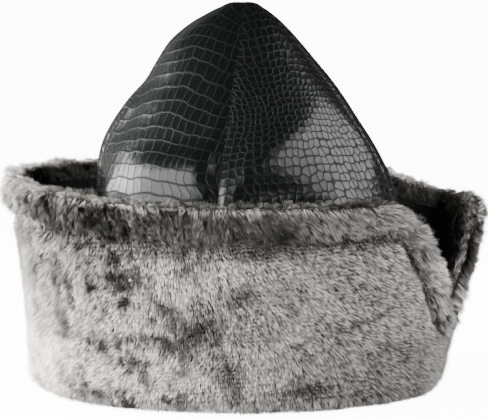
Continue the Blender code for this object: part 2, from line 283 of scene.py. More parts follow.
# %% Mesh helpers
def grid_faces(rows, columns, closed=False):
    """The faces of a grid of points. closed joins the last row to the first."""
    row = np.arange(rows if closed else rows - 1)[:, None] * columns
    after = (row + columns) % (rows * columns)
    column = np.arange(columns - 1)[None]
    corners = (row + column, row + column + 1, after + column + 1, after + column)
    return np.stack(np.broadcast_arrays(*corners), -1).reshape(-1, 4).tolist()


def end_faces(rows, columns, turn):
    """Faces between each row and the row across from it, at both ends of a loop of rows."""
    ends = []
    for column, way in ((0, turn), (columns - 1, -turn)):
        for k in range(rows // 2):
            across = (k, k + 1, rows - 2 - k, rows - 1 - k)
            face = list(dict.fromkeys(row * columns + column for row in across))
            if len(face) > 2:
                ends.append(face[::way])
    return ends


def make_mesh(name, points, faces, finish):
    """An object from points in millimetres, in the frame of the CAD model."""
    mesh = bpy.data.meshes.new(name)
    mesh.from_pydata(((points + PLACED) * MM).tolist(), [], faces)
    mesh.shade_smooth()
    mesh.materials.append(finish)
    made = bpy.data.objects.new(name, mesh)
    bpy.context.scene.collection.objects.link(made)
    return made


def set_values(mesh, name, values):
    """Puts one number or vector on each point of a mesh."""
    kind, key = ("FLOAT", "value") if values.ndim == 1 else ("FLOAT_VECTOR", "vector")
    data = mesh.attributes.new(name, kind, "POINT").data
    data.foreach_set(key, values.astype(np.float32).ravel())


def set_map(mesh, name, u, v):
    """A UV map, from one place on it for each point."""
    corner = np.empty(len(mesh.loops), np.int32)
    mesh.loops.foreach_get("vertex_index", corner)
    places = np.stack([u[corner], v[corner]], 1).ravel().astype(np.float32)
    mesh.uv_layers.new(name=name).uv.foreach_set("vector", places)


def unit(vectors):
    """Vectors made one long."""
    return vectors / np.maximum(np.linalg.norm(vectors, axis=-1, keepdims=True), 1e-9)


def triangles(made):
    made.data.calc_loop_triangles()
    return len(made.data.loop_triangles)

# %% [markdown]
# Materials and Geometry Nodes are both trees of nodes. `Nodes` adds them in one line each, and
# gives back a `Value`, the output that the next step reads. Arithmetic with a value adds a Math
# node, or a Vector Math node where it is a vector, so a tree reads like the sum that it works out.

# %% A short way to write nodes
class Value:
    """A node's output. Arithmetic with it adds more nodes."""

    def __init__(self, nodes, socket):
        self.nodes, self.socket = nodes, socket
        self.vector = socket.type in ("VECTOR", "RGBA")

    def math(self, operation, *others):
        return self.nodes.math(operation, self, *others)

    def times(self, factor, plus):
        """The value times a factor, plus another value, in one node."""
        return self.math("MULTIPLY_ADD", factor, plus)

    def __add__(self, other):
        return self.math("ADD", other)

    def __sub__(self, other):
        return self.math("SUBTRACT", other)

    def __rsub__(self, other):
        return self.nodes.math("SUBTRACT", other, self)

    def __mul__(self, other):
        scaled = self.vector and not getattr(other, "vector", isinstance(other, tuple))
        return self.math("SCALE" if scaled else "MULTIPLY", other)

    def __truediv__(self, other):
        return self.math("DIVIDE", other)

    def __pow__(self, other):
        return self.math("POWER", other)

    def __abs__(self):
        return self.math("ABSOLUTE")


class Nodes:
    """A tree of nodes."""

    def __init__(self, tree):
        self.tree = tree

    def feed(self, socket, value):
        if isinstance(value, Value):
            self.tree.links.new(value.socket, socket)
        else:
            socket.default_value = value

    def add(self, kind, inputs=None, out=0, **settings):
        """A node's output. inputs maps a socket's name or number to a number or to a value."""
        node = self.tree.nodes.new(kind)
        for setting, value in settings.items():
            setattr(node, setting, value)
        for socket, value in (inputs or {}).items():
            self.feed(node.inputs[socket], value)
        return Value(self, node.outputs[out])

    def math(self, operation, *values):
        """One step of arithmetic."""
        vector = any(getattr(value, "vector", False) for value in values)
        inputs = dict(enumerate(values))
        if operation == "SCALE":
            inputs = {0: values[0], "Scale": values[1]}
        kind = "ShaderNodeVectorMath" if vector else "ShaderNodeMath"
        return self.add(kind, inputs, operation=operation)

    def split(self, vector):
        """The three parts of a vector."""
        node = self.tree.nodes.new("ShaderNodeSeparateXYZ")
        self.feed(node.inputs[0], vector)
        return [Value(self, part) for part in node.outputs]

    def join(self, *parts):
        return self.add("ShaderNodeCombineXYZ", dict(enumerate(parts)))


# %% [markdown]
# A material's tree ends in one Principled shader. `Finish` makes both, and holds the few kinds of
# node that the finishes of this hat are made of.

# %% A short way to write finishes
class Finish(Nodes):
    """A material's tree, with a Principled shader on its output."""

    def __init__(self, name, colour):
        self.made = bpy.data.materials.new(name)
        self.made.use_nodes = True
        self.made.diffuse_color = (*colour, 1.0)
        super().__init__(self.made.node_tree)

    def between(self, value, low, high, start=0.0, end=1.0):
        """start where value is low, end where it is high, and a smooth ramp between."""
        inputs = {"Value": value, "From Min": low, "From Max": high, "To Min": start, "To Max": end}
        return self.add("ShaderNodeMapRange", inputs, "Result", interpolation_type="SMOOTHSTEP")

    def blend(self, share, first, second):
        """A colour between two."""
        inputs = {"Factor": share, 6: first, 7: second}
        return self.add("ShaderNodeMix", inputs, 2, data_type="RGBA")

    def noise(self, place, scale, detail, roughness):
        inputs = {"Vector": place, "Scale": scale, "Detail": detail, "Roughness": roughness}
        return self.add("ShaderNodeTexNoise", inputs, "Fac", noise_dimensions="3D")

    def attribute(self, name, out="Fac"):
        return self.add("ShaderNodeAttribute", out=out, attribute_name=name)

    def bump(self, height, distance):
        inputs = {"Height": height, "Distance": distance, "Strength": 1.0}
        return self.add("ShaderNodeBump", inputs, "Normal")

    def shade(self, inputs):
        """The material, once its shader's inputs are set."""
        for name, value in inputs.items():
            self.feed(self.tree.nodes["Principled BSDF"].inputs[name], value)
        print("finish:", self.made.name, "with", len(self.tree.nodes), "nodes")
        return self.made


# %% [markdown]
# ## Embossed leather
#
# The leather is pressed with a crocodile pattern. Two patterns are mixed. On the front left gore,
# rows of rounded blocks run across, and each row is cut into blocks of uneven width. Elsewhere the
# scales are small and round, which is a Voronoi pattern. Both read a map called `grain`, whose unit
# is one scale, and `rounded` says which pattern a place has.
#
# On the real hat the scales are polished and the grooves between them are not. Where the leather is
# dark the grooves show as fine pale lines, and in a highlight as dark ones. So a groove is a little
# paler, far rougher, and half metallic, which takes the plain gloss off it.

# %% The leather
SWAY = (0.8, 0.6, 0.0)
ROW_SHIFT = 7.37
SCALE_SIZE = 0.66
GROOVE_WIDTH, DOME_WIDTH = 0.1, 0.4
RELIEF = 0.0003
GROOVE_COLOUR = (0.0065, 0.0065, 0.0063, 1.0)
SCALE_COLOUR = (0.0028, 0.0031, 0.003, 1.0)


def voronoi(tree, inputs, dimensions, feature):
    kind = {"voronoi_dimensions": dimensions, "feature": feature}
    return tree.add("ShaderNodeTexVoronoi", inputs, "Distance", **kind)


def grain_edge(tree, grain):
    """How far a place is from the nearest groove."""
    noise = {"Vector": grain, "Scale": 0.45, "Detail": 1.0}
    sway = tree.add("ShaderNodeTexNoise", noise, "Color")
    place = grain + (sway - (0.5, 0.5, 0.5)) * SWAY
    x, y, _ = tree.split(place)
    row = y.math("FLOOR")
    from_row_edge = 0.5 - abs(y - row - 0.5)
    blocks = {"W": x + row * ROW_SHIFT, "Scale": 0.95, "Randomness": 0.7}
    from_block_edge = voronoi(tree, blocks, "1D", "DISTANCE_TO_EDGE").times(0.9, 0.03)
    corner = from_row_edge.math("SMOOTH_MIN", from_block_edge, 0.12)
    scales = {"Vector": place, "Scale": 1.0, "Randomness": 0.5}
    inside = SCALE_SIZE - voronoi(tree, scales, "2D", "F1")
    edge = voronoi(tree, scales, "2D", "DISTANCE_TO_EDGE").math("SMOOTH_MIN", inside, 0.16)
    return (edge - corner).times(tree.attribute("rounded"), corner)


def leather_material():
    tree = Finish("black_leather", (0.012, 0.013, 0.013))
    grain = tree.add("ShaderNodeUVMap", out="UV", uv_map="grain")
    edge = grain_edge(tree, grain)
    groove, dome = (tree.between(edge, 0.0, width) for width in (GROOVE_WIDTH, DOME_WIDTH))
    pores = tree.noise(grain, 9.0, detail=3.0, roughness=0.6)
    creases = tree.noise(grain, 2.4, detail=3.0, roughness=0.55)
    height = creases.times(0.2, pores.times(0.2, groove.times(0.45, dome * 0.3)))
    matt = 1.0 - groove
    return tree.shade({
        "Base Color": tree.blend(groove, GROOVE_COLOUR, SCALE_COLOUR),
        "Metallic": matt * 0.65,
        "Roughness": matt.times(0.5, creases.times(0.14, 0.19)),
        "Normal": tree.bump(height, RELIEF),
        "Specular IOR Level": 0.15,
        "Coat Weight": 0.05,
        "Coat Roughness": 0.15,
    })


LEATHER_FINISH = leather_material()

# %% [markdown]
# ## The scales' places
#
# The `grain` map counts scales along the rows and up the gore. `BLOCKS` are the long blocks of the
# front left gore, and `SCALES` the round ones of the others. Their sizes are given at some heights.
# The rows arch over a point near the middle of the gore, as the embossing does on the photo's left.

# %% The grain map
BLOCKS = {
    "sizes": ((0, 9.0), (118, 9.0), (126, 7.4), (150, 7.2), (185, 7.2), (205, 6.0), (222, 5.0)),
    "width": 0.68, "arch": 1.0, "rounded": 0.0,
}
SCALES = {
    "sizes": (
        (0, 6.0), (104, 5.7), (118, 5.0), (136, 4.4),
        (160, 3.1), (170, 3.1), (192, 4.2), (222, 4.0),
    ),
    "width": 1.0, "arch": 0.35, "rounded": 1.0,
}
ARCH_HEIGHTS = (116, 140, 165, 205)
ARCH_DROPS = (2.0, 6.0, 10.0, 5.0)
ARCH_CREST, ARCH_END, ARCH_FAR_SIDE = 0.52, 1.06, 0.7
FRONT_RIGHT_MIDDLE = 22
COUNT_TOP, COUNT_STEP = 222, 0.5
MAPS_APART = 37


def grain_place(gore, share, level):
    """The place on the grain map, in scales, and how round the scales are."""
    kind = SCALES if gore else BLOCKS
    height = crown_height(level) + 0 * share
    _, _, azimuth = gore_azimuth(gore, share, height)
    heights, sizes = np.array(kind["sizes"], float).T
    steps = np.linspace(0, COUNT_TOP, round(COUNT_TOP / COUNT_STEP) + 1)
    counted = np.append(0, np.cumsum(COUNT_STEP / np.interp(steps[1:], heights, sizes)))
    up = np.interp(height, steps, counted)
    wide = np.interp(height, heights, sizes) * kind["width"]
    middle = FRONT_RIGHT_MIDDLE if gore == 1 else azimuth[len(azimuth) // 2].mean()
    across = np.radians(azimuth - middle) * crown_reach(azimuth, level)
    arch = rising(share, ARCH_CREST, ARCH_END - ARCH_CREST)
    arch = arch + ARCH_FAR_SIDE * falling(share, ARCH_CREST, ARCH_CREST)
    arch = arch * np.interp(height, ARCH_HEIGHTS, ARCH_DROPS)
    up = up + arch * kind["arch"] / wide * kind["width"]
    return across / wide + MAPS_APART * gore, up, np.broadcast_to(kind["rounded"], up.shape)

# %% [markdown]
# ## The gores
#
# Each gore is one closed shell: an outer face, an inner face 2.2 mm further in, and the edges
# between them. The columns crowd towards the seams, where the leather bends most. The inner face
# isn't seen closely, so it has a third of the rows, and the edges along the seams join three outer
# points to each inner one.

# %% Make the crown
GORE_COLUMNS = 60
GORE_LEVELS = 120
CROWDED = 0.6
THIN_OUT = 3


def seam_faces(rows, columns):
    """Faces of the shell's two edges, along the seams."""
    ends = []
    for column, way in ((0, -1), (columns - 1, 1)):
        ring = [row * columns + column for row in range(rows)]
        outer, inner = ring[:GORE_LEVELS], ring[:GORE_LEVELS - 1:-1]
        for k in range(len(inner) - 1):
            strip = outer[k * THIN_OUT : (k + 1) * THIN_OUT + 1] + [inner[k + 1], inner[k]]
            ends.append(strip[::way])
        ends.append((outer[(k + 1) * THIN_OUT :] + [inner[-1]])[::way])
    return ends


def make_gore(gore, node):
    plain = np.linspace(0.0, 1.0, GORE_COLUMNS + 1)[:, None]
    share = CROWDED * ((1 - np.cos(np.pi * plain)) / 2) + (1 - CROWDED) * plain
    level = np.linspace(0.0, CROWN_LEVELS[-1], GORE_LEVELS)[None]
    outer, inwards = gore_surface(gore, share, level)
    inner = outer[:, ::THIN_OUT] + inwards[:, ::THIN_OUT] * LEATHER
    loop = np.concatenate([outer, inner[:, ::-1]], 1)
    columns, rows = loop.shape[:2]
    faces = [face[::-1] for face in grid_faces(rows, columns, closed=True)]
    faces += seam_faces(rows, columns)
    points = loop.transpose(1, 0, 2).reshape(-1, 3)
    made = make_mesh(node.replace("gore", "leather"), points, faces, LEATHER_FINISH)
    u, v, rounded = (
        np.concatenate([value, value[:, ::THIN_OUT][:, ::-1]], 1).transpose(1, 0).reshape(-1)
        for value in grain_place(gore, share, level)
    )
    set_map(made.data, "grain", u, v)
    set_values(made.data, "rounded", rounded)
    made.data.set_sharp_from_angle(angle=radians(60))
    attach(made, "root")
    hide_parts(node)
    return made


GORE_PIECES = [make_gore(gore, node) for gore, node in enumerate(GORES)]
print("crown:", sum(triangles(piece) for piece in GORE_PIECES), "triangles")

# %% [markdown]
# ## The cuff's shape
#
# The cuff is one strip of pelt whose ends are sewn together low down and stand apart above that in
# a notch. Each row of the table is one place along the strip, from its back end round the hat to
# its front end. A point of the wall is found from its share of the strip's length and its height.

# %% The cuff's table
CUFF_COLUMNS = ("azimuth", "foot_reach", "rim_reach", "rim_height", "flare", "rim_swell")
CUFF_STATIONS = (
    (-282.8, 117, 150, 109.5, 1.4, 0.5),
    (-263, 117, 149, 109.5, 1.4, 0.5),
    (-250, 117.5, 144, 112, 1.4, 0.5),
    (-238, 118, 140, 119, 1.4, 0.8),
    (-222, 119, 137, 126.5, 1.5, 1.0),
    (-200, 119.5, 136, 126.5, 1.5, 1.5),
    (-180, 119.5, 135.5, 124.5, 1.6, 1.5),
    (-135, 121, 136.5, 124, 1.7, 2.0),
    (-90, 123.5, 138, 125, 1.8, 2.5),
    (-62, 122, 136, 122.5, 1.8, 3.0),
    (-36, 121, 132.5, 120.5, 1.6, 2.5),
    (-14, 120, 131.5, 118, 1.5, 2.0),
    (10, 120, 132, 117.5, 1.4, 1.8),
    (45, 119.5, 134.5, 117, 1.3, 1.5),
    (60, 118.5, 136, 117, 1.2, 1.0),
    (77, 117, 147, 116.5, 1.2, 0.5),
)
CUFF = table(CUFF_STATIONS, CUFF_COLUMNS)
CUFF_BACK_END = CUFF_STATIONS[0][0]
CUFF_FRONT_END = CUFF_STATIONS[-1][0]
print("cuff:", len(CUFF_STATIONS), "stations,", CUFF_FRONT_END - CUFF_BACK_END, "degrees round")

# %% [markdown]
# Both ends lean away from the notch as they rise, and their upper corners are round. The free edge
# of the strip runs up one end, along the rim and down the other. Where a place is near a corner,
# its distance from that edge is measured round the corner, so that the stitching turns there too.

# %% The cuff's edges
NOTCH_FOOT = 38.0
BACK_LEAN, FRONT_LEAN = 0.28, 0.37
BACK_CORNER, FRONT_CORNER = 13.0, 20.0
STITCH_INSET = 20.0
STITCH_HALF = 4.5
CORNER_REACH = STITCH_INSET + STITCH_HALF + 1


def cuff_ends(height):
    """The azimuths of the strip's two ends. They part above the foot of the notch."""
    above = np.maximum(height, NOTCH_FOOT) - NOTCH_FOOT
    return CUFF_BACK_END + BACK_LEAN * above, CUFF_FRONT_END - FRONT_LEAN * above


def cuff_azimuth(share, height):
    first, last = cuff_ends(height)
    return first + (last - first) * share


def cuff_station(column, azimuth):
    return through(azimuth, CUFF["azimuth"], CUFF[column])


def from_ends(share, height):
    """The distance from the nearer end of the strip, square to that end."""
    first, last = cuff_ends(height)
    reach = cuff_station("rim_reach", cuff_azimuth(share, height))
    lean = np.where(share < 0.5, BACK_LEAN, FRONT_LEAN)
    slant = np.where(height > NOTCH_FOOT, np.radians(lean) * reach, 0.0)
    return np.radians(last - first) * np.minimum(share, 1 - share) * reach / np.hypot(1, slant)


def rim_top(share):
    """The height of the rim, which rounds down at the corners of both ends."""
    height = cuff_station("rim_height", CUFF_BACK_END + (CUFF_FRONT_END - CUFF_BACK_END) * share)
    corner = np.where(share < 0.5, BACK_CORNER, FRONT_CORNER)
    short = np.maximum(corner - from_ends(share, height), 0.0)
    return height - corner + np.sqrt(corner**2 - short**2)


def edge_distances(share, height):
    """The distances from the nearest free edge and from the rim above."""
    below = np.maximum(rim_top(share) - height, 0.0)
    aside = from_ends(share, height)
    reach = CORNER_REACH
    near = (below < reach) & (aside < reach)
    around_corner = reach - np.hypot(reach - below, reach - aside)
    return np.maximum(np.where(near, around_corner, np.minimum(below, aside)), 0.0), below


print("rim at the front:", round(float(rim_top(np.array([0.8]))[0]), 1), "mm high")


# %% [markdown]
# `skin_wall` gives the pelt's skin, which lies below the tips of the pile by `pile` on the fur
# side. Its other outputs say where the stitched groove, the sewn ends and the rolled edge are,
# because the pile is shorter there and its tone is darkened there with painted shade, and how far
# the nearest free edge is.

# %% The cuff's skin
PELT = 15.0
PILE = 5.0
FACING_PILE = 3.5
EDGE_ROUND = 9.0
EDGE_LEAST = 1.6
STITCH_DEPTH = 2.2
END_SEAM_FULL = 0.62
FACING = 11.0
FACING_SWELL = 2.5
END_SEAM_HALF = 5
RIM_STARTS, RIM_EASE = 1.6, 1.8


def skin_wall(share, height, side, pile):
    """Points of the pelt's skin. side is 1 on the fur and -1 on the inner face."""
    azimuth = cuff_azimuth(share, height)
    foot, rim = cuff_station("foot_reach", azimuth), cuff_station("rim_reach", azimuth)
    rise = np.maximum(height, 0.0) / cuff_station("rim_height", azimuth)
    middle = foot + (rim - foot) * rise ** cuff_station("flare", azimuth) - PELT / 2
    edge, below = edge_distances(share, height)
    above_notch = smooth_step((height - NOTCH_FOOT + 6) / 14)
    shut = rising(below, edge, 6) * (1 - above_notch)
    full = np.sqrt(1 - (1 - np.minimum(edge / EDGE_ROUND, 1.0)) ** 2)
    full = np.maximum(np.maximum(full, END_SEAM_FULL * shut), EDGE_LEAST / PELT)
    if side < 0:
        depth = (PELT / 2 + (FACING_SWELL - pile) * falling(edge, FACING, 4)) * full
        lined = falling(edge, FACING + 0.5, 2)
        return around(middle - depth, azimuth, height), 0 * edge, lined, 0 * edge, edge
    stitch = np.exp(-(((edge - STITCH_INSET) / STITCH_HALF) ** 2)) * (1 - shut)
    rolled = falling(edge, STITCH_INSET + 1, 5) * (1 - shut)
    swell = cuff_station("rim_swell", azimuth) * falling(edge, STITCH_INSET + 6, 10)
    depth = (PELT / 2 + swell * (1 - shut) - pile) * full - STITCH_DEPTH * stitch
    sewn = shut * np.exp(-((edge / END_SEAM_HALF) ** 2))
    rim = falling(below, STITCH_INSET + 1, 5) * rising(below, RIM_STARTS, RIM_EASE)
    groove = np.maximum(stitch, 1.2 * sewn)
    return around(middle + depth, azimuth, height), groove, rolled, rolled * rim, edge


# %% [markdown]
# The skin is one grid. Its columns run along the strip and crowd towards both ends. Its rows run
# from the turn under the cuff, up the fur side, over the rim and down the inner face. The wall's
# rows are evenly spaced, and the rim's lie at set distances below its top.

# %% The skin's grid
SKIN_COLUMNS = 300
END_CROWDING = 0.1
WALL_ROWS = 44
WALL_FOOT = 9
INNER_ROWS = 16
INSIDE_STARTS = 25.0
EDGE_DROPS = (24, 21, 18.5, 16, 13.5, 11, 8.5, 6.5, 4.8, 3.4, 2.4, 1.8)
FACING_DROPS = (1.8, 2.4, 3.4, 5, 7.5, 9.5, 11.5)
TURN_PLACES = ((0.02, 8), (0.1, 4.6), (0.3, 3.4), (0.55, 3.6), (0.72, 5.6))
INNER_TURN_PLACES = ((0.15, 18.0), (0.03, 14.0))
FAR = 99


def strip_shares(count):
    """Shares of the strip's length, which crowd towards both ends."""
    plain = np.linspace(0, 1, count)
    return plain - END_CROWDING * np.sin(2 * np.pi * plain) / (2 * np.pi)


def turned(share, share_out, height):
    """A row of the turn under the cuff."""
    azimuth = CUFF_BACK_END + (CUFF_FRONT_END - CUFF_BACK_END) * share
    reach = FOOT_RADIUS + (cuff_station("foot_reach", azimuth) - FOOT_RADIUS) * share_out
    none = 0 * share
    return around(reach, azimuth, height + none), none, none, none, none + FAR


def skin_grid():
    """Points of the skin, with how deep the groove, the roll and the rim are at each, and the
    distance from the nearest free edge."""
    share = strip_shares(SKIN_COLUMNS)
    top = rim_top(share)
    rows = [turned(share, *place) for place in TURN_PLACES]
    wall_top = top - EDGE_DROPS[0]
    heights = [WALL_FOOT + (wall_top - WALL_FOOT) * k / WALL_ROWS for k in range(WALL_ROWS)]
    heights += [top - drop for drop in EDGE_DROPS]
    rows += [skin_wall(share, height, 1, PILE) for height in heights]
    outside = len(rows)
    inner_top = top - FACING_DROPS[-1]
    drops = [(INSIDE_STARTS - inner_top) * k / INNER_ROWS for k in range(1, INNER_ROWS + 1)]
    heights = [top - drop for drop in FACING_DROPS] + [inner_top + drop for drop in drops]
    rows += [skin_wall(share, height, -1, FACING_PILE) for height in heights]
    inside = len(rows)
    rows += [turned(share, *place) for place in INNER_TURN_PLACES]
    return *(np.stack(values) for values in zip(*rows)), outside, inside


SKIN, GROOVE, ROLL, RIM, FROM_EDGE, OUTSIDE_ROWS, FACING_END = skin_grid()
print("skin:", SKIN.shape[0], "rows of", SKIN.shape[1], "points")


# %% [markdown]
# ## The skin
#
# The pelt's skin shows only between the strands, so it is as dark as their roots.

# %% Make the skin
def skin_material():
    tree = Finish("fur_skin", (0.03, 0.028, 0.026))
    place = tree.add("ShaderNodeTexCoord", out="Object")
    mottle = tree.noise(place, 180.0, detail=4.0, roughness=0.65)
    colour = tree.blend(mottle, (0.012, 0.011, 0.010, 1.0), (0.075, 0.070, 0.064, 1.0))
    normal = tree.bump(mottle, 0.001)
    return tree.shade({"Base Color": colour, "Normal": normal, "Roughness": 0.9})


def make_skin():
    rows, columns = SKIN.shape[:2]
    faces = grid_faces(rows, columns, closed=True) + end_faces(rows, columns, 1)
    made = make_mesh("fur_skin", SKIN.reshape(-1, 3), faces, skin_material())
    made.data.set_sharp_from_angle(angle=radians(70))
    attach(made, "root")
    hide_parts("fur_cuff")
    return made


SKIN_PIECE = make_skin()
print("skin:", triangles(SKIN_PIECE), "triangles")

# %% [markdown]
# ## What the pile needs from the skin
#
# The strands grow from a copy of the skin that has only its fur side. Each point of it carries the
# pile's direction, its length, how far it stands up, and a tone. These cells work them out for all
# points at once. First come the places that differ: where the pile is parted or brushed, one row
# each. Depth is how much darker it is there, or lighter where negative. Slant turns the long way
# from level towards the hat's right and up.

# %% Where the pile is parted
# Azimuth, height, half length, half width, slant and depth
PARTINGS = (
    (-33.8, 84, 8, 3, 80, 0.8),
    (-34.6, 71, 4, 3, 60, 0.6),
    (-31.6, 63, 5, 3, 45, 0.7),
    (-24, 44, 14, 3, -6, 0.85),
    (-11.8, 49, 7, 3, 35, 0.8),
    (-39.6, 36, 9, 6, -30, 0.9),
    (-42, 11, 12, 4, 0, 0.8),
    (-3.5, 29, 13, 2.5, -70, 0.7),
    (-25, 61, 14, 8, 0, 0.35),
    (-62.9, 82, 4, 2, 70, 0.8),
    (-49.8, 61, 5, 2.5, -60, 0.6),
    (-72.9, 12, 8, 5, -30, 0.6),
    (3.4, 51, 3, 2, -40, 0.5),
    (14.2, 40, 4, 2.5, 0, 0.6),
    (31.3, 71, 6, 1.8, 15, 0.6),
    (31.4, 51, 20, 1.6, 14, 0.45),
    (50.5, 36, 14, 16, 0, 0.3),
    (16.6, 15, 12, 6, 0, 0.7),
    (3.3, 82, 16, 5, 8, -0.35),
    (-1.6, 66, 9, 8, 0, 0.3),
    (9.6, 103, 5, 4, 0, 0.9),
    (112, 70, 10, 4, 20, 0.6),
    (128, 34, 14, 5, -12, 0.7),
    (150, 58, 6, 3, 60, 0.7),
    (163, 90, 8, 3, 10, 0.6),
    (-172, 42, 12, 4, -20, 0.8),
    (-150, 80, 7, 3, 50, 0.6),
    (-140, 25, 10, 6, 0, 0.7),
    (-118, 62, 12, 4, -30, 0.7),
    (-100, 30, 9, 5, 20, 0.8),
    (-95, 88, 6, 3, -60, 0.6),
)
print("pile:", len(PARTINGS), "partings")

# %% [markdown]
# Next, where each point lies on the cuff. `under` is the turn at the foot, `facing` the fur that
# goes over the rim to the inner face, `crest` the top of the rim, `behind` the back of the hat, and
# `back_end` the strip's back end, beside the notch. `ahead` holds everywhere but at the back.

# %% Places on the fur side
POINTS = SKIN[:FACING_END]
HEIGHT = POINTS[..., 2]
AZIMUTH = np.degrees(np.arctan2(POINTS[..., 0], -POINTS[..., 1]))
TOP = rim_top(strip_shares(SKIN_COLUMNS))[None]
DROP = TOP - HEIGHT
groove, roll = np.minimum(GROOVE[:FACING_END], 1.0), ROLL[:FACING_END]
row = np.arange(FACING_END)[:, None] + 0 * groove
under = 1 - rising(row, 1, 5)
facing = rising(row, OUTSIDE_ROWS - 2, 3)
crest = falling(DROP, 4.5, 3)
ahead = (AZIMUTH > -120) & (AZIMUTH < 130)
behind = rising(np.abs(AZIMUTH + 5), 112, 16)
back_end = rising(HEIGHT, 45, 25) * falling(AZIMUTH, 134, 14)
back_end = back_end * (strip_shares(SKIN_COLUMNS) < 0.25)
parting = marks(PARTINGS, AZIMUTH, HEIGHT, np.hypot(POINTS[..., 0], POINTS[..., 1])) * (1 - facing)
print("fur side:", POINTS.shape[0] * POINTS.shape[1], "points")

# %% [markdown]
# The pile lies downwards on the wall, swirls a little, and turns outwards over the rolled edge. It
# is pressed down in the stitched groove, and short under the cuff and on the inner face.
# `soft_noise` is a smooth random field: sine waves in random directions, in three sizes.

# %% The pile's direction, length and rise
PILE_LENGTH, PILE_RISE = 3.0, 4.6
EDGE_LENGTH, EDGE_RISE = 4.8, 4.6
LIT_RIM, LIT_CREST = 1.9, 2.6


def soft_noise(points, size, seed):
    """A smooth random field with features of about this size, between -1 and 1."""
    chance = np.random.default_rng(seed)
    total = 0.0
    for octave in range(3):
        for _ in range(5):
            direction = chance.normal(size=3)
            direction /= np.linalg.norm(direction)
            wave = 2 * np.pi * 2**octave / (size * 2.2)
            ripple = (points @ direction) * wave + chance.uniform(0, 2 * np.pi)
            total = total + np.sin(ripple) / 2**octave
    return np.clip(total / 4.0, -1.0, 1.0)


def grid_normals(grid):
    """Unit normals of a grid of points, on the side that faces out of the strip."""
    return unit(np.cross(np.gradient(grid, axis=1), np.gradient(grid, axis=0)))


normal = grid_normals(SKIN)[:FACING_END]
lay = -unit(np.gradient(SKIN, axis=0)[:FACING_END])
swirl = 0.25 * soft_noise(POINTS, 70, 3) - 0.12 + 0.9 * roll * soft_noise(POINTS, 22, 8)
lay = lay + np.cross(lay, normal) * swirl[..., None]
lay = unit(lay - normal * (lay * normal).sum(-1, keepdims=True))

from_rim = np.where(row < OUTSIDE_ROWS, 0.0, FROM_EDGE[:FACING_END])
lit_crest = LIT_CREST * falling(np.abs(AZIMUTH), 88, 20)
shaded = smooth_step((from_rim - LIT_RIM - lit_crest) / 1.8)
uneven = soft_noise(POINTS, 30, 11)
flattened = 1 - 0.5 * np.clip(parting, 0, 1)
length = PILE_LENGTH * (1 + 0.15 * uneven) * flattened
length = length + (EDGE_LENGTH * (1 + 0.25 * uneven) - length) * roll
length = length * (1 - 0.35 * groove) * (1 - 0.55 * facing) * (1 - 0.4 * shaded)
length = length * (1 - 0.45 * rising(AZIMUTH, -15, 40) * ahead * (1 - roll))
length = length * (1 - 0.35 * behind * roll)
rise = PILE_RISE * (1 + 0.12 * uneven) * flattened
rise = rise + (EDGE_RISE * (1 + 0.2 * uneven) - rise) * roll
rise = rise * (1 - 0.7 * groove * (1 - 0.7 * back_end)) * (1 - 0.2 * under)
rise = rise * (1 - 0.35 * facing) * (1 - 0.4 * shaded) * (1 - 0.45 * crest)
rise = rise * (1 - 0.25 * behind * roll)
print("pile: up to", round(float(length.max()), 1), "mm long, rising", round(float(rise.max()), 1))

# %% [markdown]
# The tone follows the photo, and much of it is painted light and shade: painted light makes it
# pale at the left, where the light comes from, and painted shade makes it darker towards the right
# and nearly black on the rolled edge, apart from the lit left side. The lower limit of that dark
# band is ragged. The stitched groove and the turn under the cuff are darkened with painted shade
# too. The fur of the inner face lies in the shade, apart from a lit crest. `patchy` says how
# strongly the brushed patches show, `grain` how much single strands differ, and `lift` how far
# their pale tips reach down: further at the free edge, where the strands are seen from the side,
# and further at the left, as painted light.

# %% The pile's tone
FRONT_TONE, PAINTED_LEFT_LIGHT, PAINTED_RIGHT_SHADE = 1.06, 0.75, 0.64
BAND_DARK, BAND_RIGHT_GAIN = 0.89, 0.43
RAGGED_BAND, RAGGED_BY = 30, 6
LIFT_REACH = 3.4
at_left = falling(AZIMUTH, -48, 20) * (AZIMUTH > -120)
lit_side = falling(AZIMUTH, -56, 14) * (AZIMUTH > -120)
end_facing = rising(AZIMUTH, 60, 20) * (AZIMUTH < 130)
# Painted light and shade: the tone is raised at the left, on the lit side, and lowered towards the
# right.
painted_side_light_and_brushed_patches = FRONT_TONE + PAINTED_LEFT_LIGHT * falling(AZIMUTH, -40, 32) * ahead
painted_side_light_and_brushed_patches = painted_side_light_and_brushed_patches - PAINTED_RIGHT_SHADE * rising(AZIMUTH, -45, 95) * ahead * (1 - back_end * (1 - facing))
patchy = 0.95 + 0.35 * np.exp(-(((AZIMUTH + 36) / 24) ** 2))
patchy = patchy - 0.5 * rising(AZIMUTH, -5, 25) * ahead - 0.2 * at_left
ragged = smooth_step((RAGGED_BAND + RAGGED_BY * soft_noise(POINTS, 22, 31) - DROP) / 8)
ragged = ragged * rising(DROP, RIM_STARTS, RIM_EASE)
band = 0.8 * ragged * (1 - facing) * (1 - groove * 0.3) * ahead * (AZIMUTH < 60)
band = np.maximum(RIM[:FACING_END], band)
# Painted shade on the rolled edge: the band is darkened, less towards the right, not on the lit
# left side, and less at the back end.
painted_band_shade = BAND_DARK - BAND_RIGHT_GAIN * rising(AZIMUTH, 5, 25) * ahead
painted_band_shade = painted_band_shade * (1 - lit_side) * (1 - 0.6 * back_end)
tone = (1 - np.clip(1.15 * parting, -0.4, 0.9)) * painted_side_light_and_brushed_patches * (1 - painted_band_shade * band)
